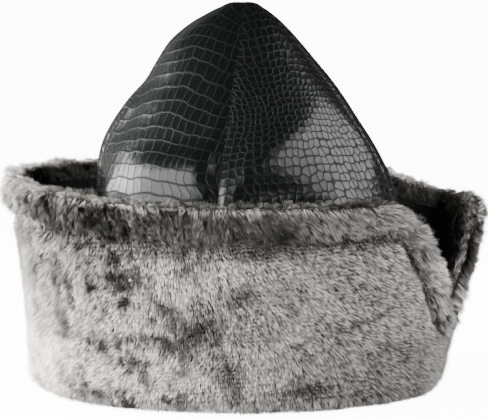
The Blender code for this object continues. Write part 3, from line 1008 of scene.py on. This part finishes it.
# Painted shade: the stitched groove and sewn ends are darkened, apart from the lit left side and
# the back end, and the turn under the cuff a little.
tone = tone * (1 - 0.6 * groove * (1 - lit_side) * (1 - back_end)) * (1 - 0.15 * under)
tone = tone * (1 - 0.93 * shaded * (1 - 0.2 * end_facing))
grain = 0.95 + 0.75 * rising(AZIMUTH, 2, 35) * ahead - 0.25 * at_left * (1 - roll)
# Painted light: at the left, on the lit side, the pale tips reach further down.
lift = 0.4 * np.exp(-((FROM_EDGE[:FACING_END] / LIFT_REACH) ** 2)) + 0.15 * at_left * (1 - roll)
print("pile: tone from", round(float(tone.min()), 2), "to", round(float(tone.max()), 2))

# %% [markdown]
# Two kinds of fur share the points: the even pile, and the looser fur of the rolled edge, of the
# groove and of the turn below. `fur_row` counts the rows of roots up the wall.

# %% The ground that the fur grows from
ROW_PITCH = 2.1
loose = np.clip(roll + 0.6 * groove + 0.6 * under, 0.0, 1.0)
loose_share = rising(loose, 0.35, 0.3)
FUR_VALUES = {
    "fur_normal": normal,
    "fur_lay": lay,
    "fur_length": length * MM,
    "fur_rise": rise * MM,
    "fur_tone": tone,
    "fur_loose": loose,
    "fur_row": (HEIGHT - 0.1 * POINTS[..., 0] + 1.2 * soft_noise(POINTS, 45, 21)) / ROW_PITCH,
    "fur_patchy": patchy,
    "fur_grain": grain,
    "fur_lift": lift,
    "pile_share": (1 - loose_share) * (row < OUTSIDE_ROWS),
    "edge_share": loose_share * (1 - 0.4 * under),
}


def fur_ground(name, first, last, finish):
    """The part of the fur side between two columns, with the pile's values on it."""
    part = np.s_[:, first : last + 1]
    rows, columns = POINTS[part].shape[:2]
    ground = make_mesh(name, POINTS[part].reshape(-1, 3), grid_faces(rows, columns), finish)
    for label, values in FUR_VALUES.items():
        set_values(ground.data, label, values[part].reshape(rows * columns, *values.shape[2:]))
    return ground

# %% [markdown]
# ## One strand
#
# Every strand is a single pointed triangle, so that there can be very many. Its points carry how
# far along the strand they are and on which side. The tree below bends it and gives it its width.

# %% The strand's pattern
ALONG = np.array((0.0, 0.0, 1.0))
SIDE = np.array((-0.5, 0.5, 0.0))


def strand_pattern():
    mesh = bpy.data.meshes.new("strand_pattern")
    mesh.from_pydata([(s, 0, t) for s, t in zip(SIDE, ALONG)], [], [(0, 1, 2)])
    set_values(mesh, "along", ALONG)
    set_values(mesh, "side", SIDE)
    pattern = bpy.data.objects.new("strand_pattern", mesh)
    bpy.context.scene.collection.objects.link(pattern)
    return pattern


STRAND = strand_pattern()
print("strand:", triangles(STRAND), "triangle")

# %% [markdown]
# ## The tree that grows the fur
#
# Geometry Nodes scatter the strands over the skin and bend each one. `Growth` is a tree for them.
# Its inputs have names, so that one tree can grow several kinds of fur.

# %% A short way to write geometry nodes
class Growth(Nodes):
    """A Geometry Nodes tree with named inputs."""

    def __init__(self, name):
        super().__init__(bpy.data.node_groups.new(name, "GeometryNodeTree"))
        for way in ("INPUT", "OUTPUT"):
            self.new_socket("Geometry", way, "Geometry")
        self.group_in = self.tree.nodes.new("NodeGroupInput")
        self.group_out = self.tree.nodes.new("NodeGroupOutput")
        self.names = {}

    def new_socket(self, name, way, kind):
        interface = self.tree.interface
        return interface.new_socket(name, in_out=way, socket_type=f"NodeSocket{kind}")

    def input(self, name, kind="Float"):
        self.names[name] = self.new_socket(name, "INPUT", kind).identifier
        return Value(self, self.group_in.outputs[name])

    def read(self, name, kind="FLOAT"):
        """The values that the points carry under a name."""
        inputs = {"Name": name}
        return self.add("GeometryNodeInputNamedAttribute", inputs, "Attribute", data_type=kind)

    def read_vectors(self, *names):
        return [self.read(name, "FLOAT_VECTOR") for name in names]

    def store(self, geometry, **values):
        """A geometry whose points carry more values, each under its name."""
        for name, value in values.items():
            kind = "FLOAT_VECTOR" if value.vector else "FLOAT"
            inputs = {"Geometry": geometry, "Name": name, "Value": value}
            geometry = self.add("GeometryNodeStoreNamedAttribute", inputs, data_type=kind)
        return geometry

    def chance(self, low, high, seed):
        """A random number between two for each point."""
        inputs = {2: low, 3: high, "Seed": seed}
        return self.add("FunctionNodeRandomValue", inputs, 1, data_type="FLOAT")

    def random_way(self, seed, **number):
        """A random vector for each point, or for each number."""
        inputs = {0: (-1, -1, -1), 1: (1, 1, 1), "Seed": seed, **number}
        return self.add("FunctionNodeRandomValue", inputs, data_type="FLOAT_VECTOR")

# %% [markdown]
# The roots are scattered, then gathered onto the rows that the pile is knitted in. Each strand
# belongs to a clump of each of three sizes. It keeps how far away the clump's middle is, and a
# random way in which the whole clump leans.

# %% The roots and their clumps
CLUMPS = (("fine", 5.0e6, 11), ("small", 1.0e6, 23), ("large", 2.0e5, 37))
LEAN_SEED = 5
STRAY_SEED, SHADE_SEED, TWIST_SEED = 41, 43, 47
TWIST = 0.7


def fur_roots(growth, ground):
    """The strands' roots, with what each strand needs."""
    density = growth.input("Density") * growth.read(growth.input("Share", "String"))
    inputs = {"Mesh": ground, "Density": density, "Seed": growth.input("Seed", "Int")}
    scatter = "GeometryNodeDistributePointsOnFaces"
    points = growth.add(scatter, inputs, "Points", distribute_method="RANDOM")
    place = growth.add("GeometryNodeInputPosition")
    off_row = growth.read("fur_row").math("FRACT") - 0.5
    (lay,) = growth.read_vectors("fur_lay")
    root = place + lay * (off_row * growth.input("Row shift"))
    points = growth.store(points, root=root, strand=growth.add("GeometryNodeInputIndex"))
    for label, most, seed in CLUMPS:
        apart = growth.input(f"{label} clump")
        inputs = {"Mesh": ground, "Distance Min": apart, "Density Max": most, "Seed": seed}
        middles = growth.add(scatter, inputs, "Points", distribute_method="POISSON")
        inputs = {"Geometry": middles, "Sample Position": place}
        nearest = growth.add("GeometryNodeSampleNearest", inputs)
        inputs = {"Geometry": middles, "Value": place, "Index": nearest}
        middle = growth.add("GeometryNodeSampleIndex", inputs, data_type="FLOAT_VECTOR")
        lean = growth.random_way(seed + LEAN_SEED, ID=nearest)
        points = growth.store(points, **{f"{label}_pull": middle - place, f"{label}_lean": lean})
    shade, twist = growth.chance(0.0, 1.0, SHADE_SEED), growth.chance(-TWIST, TWIST, TWIST_SEED)
    return growth.store(points, stray=growth.random_way(STRAY_SEED), shade=shade, twist=twist)

# %% [markdown]
# A strand stands up by its rise, runs along the lay, and is pulled towards the middles of its
# clumps, so that the pile parts between them. It strays a little from that, gets its width, and
# stays above the floor.

# %% The bend of a strand
RUN_POWER = 1.3
FLOOR_LOW, FLOOR_SPREAD = 0.0002, 0.0006


def bent_strands(growth, strands):
    along, side, shade = growth.read("along"), growth.read("side"), growth.read("shade")
    normal, lay, root = growth.read_vectors("fur_normal", "fur_lay", "root")
    squared = along * along
    stand = (along * 2.0 - squared) * growth.read("fur_rise") * shade.times(0.4, 0.8)
    bent = root + normal * stand + lay * (along**RUN_POWER * growth.read("fur_length"))
    for label, _, _ in CLUMPS:
        pull, lean = growth.read_vectors(f"{label}_pull", f"{label}_lean")
        bent = bent + pull * (squared * growth.input(f"{label} pull"))
        bent = bent + lean * (along * growth.input(f"{label} lean"))
    (stray,) = growth.read_vectors("stray")
    bent = bent + stray * (along * growth.input("Stray"))
    across = lay.math("CROSS_PRODUCT", normal).math("NORMALIZE") + normal * growth.read("twist")
    bent = bent + across * (side * growth.input("Width"))
    x, y, z = growth.split(bent)
    above = z.math("MAXIMUM", shade.times(FLOOR_SPREAD, FLOOR_LOW))
    inputs = {"Geometry": strands, "Position": growth.join(x, y, above)}
    return growth.add("GeometryNodeSetPosition", inputs)

# %% [markdown]
# The whole tree puts the strand on every root, makes it real, bends it, and gives every strand its
# own cell of the map called OFBake.

# %% The tree of the fur
CELLS = 440


def fur_tree():
    growth = Growth("fur")
    points = fur_roots(growth, Value(growth, growth.group_in.outputs["Geometry"]))
    inputs = {"Object": growth.input("Strand", "Object")}
    strand = growth.add("GeometryNodeObjectInfo", inputs, "Geometry")
    inputs = {"Points": points, "Instance": strand}
    strands = growth.add("GeometryNodeInstanceOnPoints", inputs)
    strands = growth.add("GeometryNodeRealizeInstances", {"Geometry": strands})
    strands = bent_strands(growth, strands)
    number, cells = growth.read("strand"), growth.input("Cells")
    column, row = number.math("MODULO", cells), ((number + 0.5) / cells).math("FLOOR")
    u = (growth.read("side").times(0.8, 0.5) + column) / cells
    v = (growth.read("along").times(0.86, 0.07) + row) / cells
    inputs = {"Geometry": strands, "Name": "OFBake", "Value": growth.join(u, v)}
    kind = {"data_type": "FLOAT2", "domain": "CORNER"}
    strands = growth.add("GeometryNodeStoreNamedAttribute", inputs, **kind)
    inputs = {"Geometry": strands, "Material": growth.input("Material", "Material")}
    strands = growth.add("GeometryNodeSetMaterial", inputs)
    growth.feed(growth.group_out.inputs["Geometry"], strands)
    return growth


FUR_TREE = fur_tree()
print("fur tree:", len(FUR_TREE.tree.nodes), "nodes, and the inputs", ", ".join(FUR_TREE.names))

# %% [markdown]
# ## The pile's finish
#
# A strand is dark at its root and pale at its tip. Each strand is a little lighter or darker than
# its neighbours, and whole patches of the pile are darker, as where it was brushed the other way.
# All of it is scaled by the tone that each point carries, which holds painted light and shade.

# %% The fur's material
ROOT_COLOUR = (0.010, 0.0095, 0.009, 1.0)
MIDDLE_COLOUR = (0.22, 0.21, 0.193, 1.0)
TIP_COLOUR = (0.88, 0.863, 0.808, 1.0)
USUAL_LEVEL, LEAST_LEVEL, MOST_LEVEL = 0.65, 0.06, 1.12


def fur_material():
    tree = Finish("grey_fur", (0.30, 0.29, 0.27))
    place = tree.add("ShaderNodeTexCoord", out="Object")
    along = tree.attribute("along") + tree.attribute("fur_lift")
    lower = tree.blend(tree.between(along, 0.02, 0.4), ROOT_COLOUR, MIDDLE_COLOUR)
    colour = tree.blend(tree.between(along, 0.25, 0.8), lower, TIP_COLOUR)
    patches = tree.noise(place, 48.0, detail=4.0, roughness=0.7)
    tufts = tree.noise(place, 210.0, detail=2.0, roughness=0.5)
    patches = tree.between(patches, 0.38, 0.6, 0.3, 1.0)
    # Only the brushed patches here; the painted side light and shade come in with fur_tone.
    painted_side_light_and_brushed_patches = patches * tree.between(tufts, 0.35, 0.6, 0.66, 1.06)
    painted_side_light_and_brushed_patches = 1.0 - (1.0 - painted_side_light_and_brushed_patches) * tree.attribute("fur_patchy")
    streak, _, _ = tree.split(tree.attribute("fine_lean", "Vector"))
    level = (tree.attribute("shade") ** 2.2).times(1.3, 0.2) * streak.times(0.45, 1.02)
    level = (level - USUAL_LEVEL).times(tree.attribute("fur_grain"), USUAL_LEVEL)
    level = level.math("MAXIMUM", LEAST_LEVEL) * (painted_side_light_and_brushed_patches * tree.attribute("fur_tone"))
    level = level.math("MINIMUM", MOST_LEVEL)
    colour = colour * tree.join(level, level, level)
    return tree.shade({"Base Color": colour, "Roughness": 0.55, "Specular IOR Level": 0.15})


FUR_FINISH = fur_material()

# %% [markdown]
# ## Growing the fur
#
# The fur comes in two kinds: the even pile of the body, and the looser fur of the rolled edge,
# whose small clumps pull and lean much more. Sizes are in metres here, and the density is for each
# square metre.

# %% The two kinds of fur
FUR_PARTS = ("back_right", "back_left", "front_left", "front_right")
PILE_KIND = {
    "Share": "pile_share", "Density": 6.2e6, "Width": 0.0006,
    "fine clump": 0.0012, "small clump": 0.0045, "large clump": 0.013,
    "fine pull": 0.4, "small pull": 0.08, "large pull": 0.02,
    "fine lean": 0.0003, "small lean": 0.0004, "large lean": 0.0005,
    "Stray": 0.0004, "Row shift": 0.0009,
}
EDGE_KIND = {
    "Share": "edge_share", "Density": 8.5e6, "Width": 0.0005,
    "fine clump": 0.0014, "small clump": 0.0042, "large clump": 0.012,
    "fine pull": 0.4, "small pull": 0.3, "large pull": 0.06,
    "fine lean": 0.0007, "small lean": 0.0012, "large lean": 0.0012,
    "Stray": 0.0009, "Row shift": 0.0,
}
for label, kind in (("pile", PILE_KIND), ("edge", EDGE_KIND)):
    print(f"{label}: small clumps {1000 * kind['small clump']:.1f} mm apart")

# %% [markdown]
# Each kind is grown in four parts round the hat, so that no piece has too many triangles. Each part
# is evaluated once and kept as a plain mesh. Its shading normals follow the skin more than the
# single strands, because a dense soft pile shades like one surface.

# %% Grow the fur
def read_values(mesh, name, width):
    data = mesh.attributes[name].data
    values = np.empty(len(data) * width, np.float32)
    data.foreach_get("value" if width == 1 else "vector", values)
    return values.reshape(-1, width)


def soften(grown):
    """Shading normals between the skin's and the strands' own."""
    normal, lay, stray, lean = (
        read_values(grown, name, 3) for name in ("fur_normal", "fur_lay", "stray", "small_lean")
    )
    along, loose = read_values(grown, "along", 1), read_values(grown, "fur_loose", 1)
    shading = normal + lay * (0.4 * along - 0.2) + 0.34 * stray + (0.08 + 0.4 * loose) * lean
    grown.shade_smooth()
    grown.normals_split_custom_set_from_vertices(unit(shading).tolist())


def grow_fur(name, part, kind, seed):
    first, last = (round((SKIN_COLUMNS - 1) * k / len(FUR_PARTS)) for k in (part, part + 1))
    ground = fur_ground(name, first, last, FUR_FINISH)
    modifier = ground.modifiers.new("growth", "NODES")
    modifier.node_group = FUR_TREE.tree
    settings = {"Strand": STRAND, "Material": FUR_FINISH, "Seed": seed, "Cells": float(CELLS)}
    for label, value in {**kind, **settings}.items():
        modifier[FUR_TREE.names[label]] = value
    settled = ground.evaluated_get(bpy.context.evaluated_depsgraph_get())
    grown = bpy.data.meshes.new_from_object(settled)
    ground.modifiers.remove(modifier)
    grown.name = name
    ground.data = grown
    soften(grown)
    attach(ground, "root")
    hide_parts("fur_cuff")
    return ground


FUR_PIECES = [
    grow_fur(f"{label}_{part}", k, kind, seed + k)
    for label, kind, seed in (("pile", PILE_KIND, 5), ("edge", EDGE_KIND, 15))
    for k, part in enumerate(FUR_PARTS)
]
bpy.data.objects.remove(STRAND, do_unlink=True)
print("fur:", {piece.name: triangles(piece) for piece in FUR_PIECES}, "triangles")

# %% [markdown]
# ## The lining
#
# A thin woven cloth faces the cuff's inner side, from just above the turn to the fur of the rim. It
# hangs a small clearance inside the pelt, as the CAD model's lining does, and pulls a little
# between its stitches. Its `weave` map is in millimetres along the strip and up it.

# %% The lining's cloth
THREADS = 9.0
LINING_DARK = (0.002, 0.002, 0.0022, 1.0)
LINING_PALE = (0.006, 0.006, 0.0066, 1.0)


def lining_material():
    tree = Finish("woven_lining", (0.008, 0.008, 0.009))
    place = tree.add("ShaderNodeUVMap", out="UV", uv_map="weave")
    x, y, _ = tree.split(place)
    weave = (x * THREADS).math("SINE") * (y * THREADS).math("SINE")
    creases = tree.noise(place, 0.09, detail=4.0, roughness=0.55)
    return tree.shade({
        "Base Color": tree.blend(creases, LINING_DARK, LINING_PALE),
        "Normal": tree.bump(weave.times(0.06, creases), 0.001),
        "Roughness": 0.7,
        "Specular IOR Level": 0.12,
    })


LINING_FINISH = lining_material()

# %% [markdown]
# The cloth follows the same wall as the pelt's inner face. It is moved inwards, square to that
# wall, by the clearance and its own thickness.

# %% Make the lining
LINING_STEPS = 320
LINING_RISES = 36
LINING = 1.2
LINING_CLEARANCE = 0.5
LINING_INSET = 12.8
LINING_LOOSE = 0.4
CUFF_LENGTH = radians(CUFF_FRONT_END - CUFF_BACK_END) * CUFF["rim_reach"].mean()


def lining_walls(share, rise):
    """The cloth's front and back, and the height of each row."""
    height = INSIDE_STARTS + (rim_top(share)[None] - FACING - INSIDE_STARTS) * rise
    wall = skin_wall(share[None] + 0 * height, height, -1, 0.0)[0]
    climb, outwards = unit(np.gradient(wall, axis=0)), unit(wall * (1, 1, 0))
    inwards = climb * (climb * outwards).sum(-1, keepdims=True) - outwards
    pulled = 0.35 * soft_noise(wall * (1, 1, 0.5), 26, 51) + 0.25 * soft_noise(wall, 9, 52)
    from_end = np.minimum(share - share[0], share[-1] - share)
    pulled = pulled * np.sin(np.pi * rise) * np.minimum(1.0, 6 * from_end / 0.1)
    front = wall + inwards * (LINING_CLEARANCE + LINING + LINING_LOOSE + pulled)[..., None]
    return front, wall + inwards * (LINING_CLEARANCE + 0 * height)[..., None], height


def make_lining():
    start, end = np.array([LINING_INSET, CUFF_LENGTH - LINING_INSET]) / CUFF_LENGTH
    share = np.linspace(start, end, LINING_STEPS)
    front, back, height = lining_walls(share, np.linspace(0, 1, LINING_RISES)[:, None])
    loop = np.concatenate([front, back[::-1]])
    rows, columns = loop.shape[:2]
    faces = grid_faces(rows, columns, closed=True) + end_faces(rows, columns, -1)
    made = make_mesh("woven_lining", loop.reshape(-1, 3), faces, LINING_FINISH)
    length = share[None] * CUFF_LENGTH + 0 * height
    u, v = (np.concatenate([value, value[::-1]]).reshape(-1) for value in (length, height))
    set_map(made.data, "weave", u, v)
    made.data.set_sharp_from_angle(angle=radians(60))
    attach(made, "root")
    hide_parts("cuff_lining")
    return made


LINING_PIECE = make_lining()
print("lining:", triangles(LINING_PIECE), "triangles")

# %% [markdown]
# ## Camera, light and floor
#
# The camera stands where the photograph's did: 2.1 m away, a little above level, with a long lens.

# %% The camera
CAMERA_AIM = Vector((0.0, 0.0, 0.1025))
CAMERA_DISTANCE = 2.1
CAMERA_ELEVATION = radians(5.8)
CAMERA_LENS = 269


def make_camera():
    data = bpy.data.cameras.new("camera")
    data.lens = CAMERA_LENS
    data.sensor_width = 36
    data.clip_start = 0.1
    camera = bpy.data.objects.new("camera", data)
    back = Vector((0.0, -cos(CAMERA_ELEVATION), sin(CAMERA_ELEVATION)))
    camera.location = CAMERA_AIM + back * CAMERA_DISTANCE
    camera.rotation_euler = back.to_track_quat("Z", "Y").to_euler()
    bpy.context.scene.collection.objects.link(camera)
    bpy.context.scene.camera = camera
    print("camera:", [round(place, 3) for place in camera.location])


make_camera()

# %% [markdown]
# The light comes from large soft panels, which stand close side by side in walls round the hat. The
# leather mirrors them as its broad highlights, so their edges set where a highlight ends. The wall
# at the left is in two heights, because the low highlight is brighter than the one above.

# %% The lights
LIGHT_AIM = Vector((0.0, 0.0, 0.11))


def make_light_wall(name, azimuths, elevations, distance, panels, strength):
    """Large soft panels side by side on a circle round the hat. Azimuths and elevations give the
    wall's edges in degrees, and strength is its power for each square metre."""
    first, last = (radians(value) for value in azimuths)
    low, high = (radians(value) for value in elevations)
    width = 2 * distance * tan((last - first) / panels / 2)
    height = 2 * distance * tan((high - low) / 2)
    for panel in range(panels):
        turn = first + (last - first) * (panel + 0.5) / panels
        lift = (low + high) / 2
        data = bpy.data.lights.new(f"{name}_{panel}", "AREA")
        data.shape = "RECTANGLE"
        data.size, data.size_y = width, height
        data.energy = strength * width * height
        light = bpy.data.objects.new(data.name, data)
        towards = Vector((cos(lift) * sin(turn), -cos(lift) * cos(turn), sin(lift)))
        light.location = LIGHT_AIM + towards * distance
        light.rotation_euler = towards.to_track_quat("Z", "Y").to_euler()
        bpy.context.scene.collection.objects.link(light)
    print(f"{name}: {panels} of {width:.2f} by {height:.2f} m, {data.energy:.1f} W each")


make_light_wall("left_low_light", (-116, -85.4), (-8, 8), 1.2, 1, 190)
make_light_wall("left_high_light", (-116, -85.4), (8.1, 28), 1.2, 1, 112)
make_light_wall("front_left_light", (-85.2, -24), (-8, 28), 1.2, 2, 57)
make_light_wall("right_light", (43, 117), (16, 40), 1.3, 2, 37)
make_light_wall("back_left_light", (-166, -118), (0, 34), 1.3, 2, 1.2)

# %% [markdown]
# The background and the floor are plain white, as in the photograph, and the hat's own light stays
# dim: the camera sees a bright white that lights nothing. That is the use of Light Path here. It is
# only on the surroundings, and no finish of the hat reads it.

# %% The surroundings
WHITE = (1.0, 1.0, 1.0, 1.0)
SEEN_WHITE = 12.0
FILL = 0.04
FLOOR_RADIUS, FLOOR_DROP, FLOOR_CORNERS = 4000, 0.2, 96


def make_surroundings():
    world = bpy.data.worlds.new("studio")
    world.use_nodes = True
    studio = Nodes(world.node_tree)
    fill = studio.add("ShaderNodeBackground", {"Color": WHITE, "Strength": FILL})
    white = studio.add("ShaderNodeBackground", {"Color": WHITE, "Strength": SEEN_WHITE})
    seen = studio.add("ShaderNodeLightPath", out="Is Camera Ray")
    seen_or_fill = studio.add("ShaderNodeMixShader", {"Fac": seen, 1: fill, 2: white})
    studio.feed(studio.tree.nodes["World Output"].inputs["Surface"], seen_or_fill)
    studio.tree.nodes.remove(studio.tree.nodes["Background"])
    bpy.context.scene.world = world


def make_floor():
    """A plain round floor, as white as the surroundings apart from the hat's own shadow."""
    tree = Finish("pale_floor", (0.9, 0.9, 0.9))
    seen = tree.add("ShaderNodeLightPath", out="Is Camera Ray")
    white = tree.shade({
        "Base Color": (0.92, 0.92, 0.92, 1.0), "Roughness": 0.9,
        "Emission Color": WHITE, "Emission Strength": seen * SEEN_WHITE,
    })
    turn = np.linspace(0, 2 * np.pi, FLOOR_CORNERS + 1)[:-1]
    reach = [FLOOR_RADIUS * np.sin(turn), FLOOR_RADIUS * np.cos(turn), 0 * turn - FLOOR_DROP]
    corners = list(range(FLOOR_CORNERS))
    floor = make_mesh("floor", np.stack(reach, 1) - PLACED, [corners[::-1]], white)


make_surroundings()
make_floor()
print("surroundings:", SEEN_WHITE, "where the camera sees them, and a fill of", FILL)
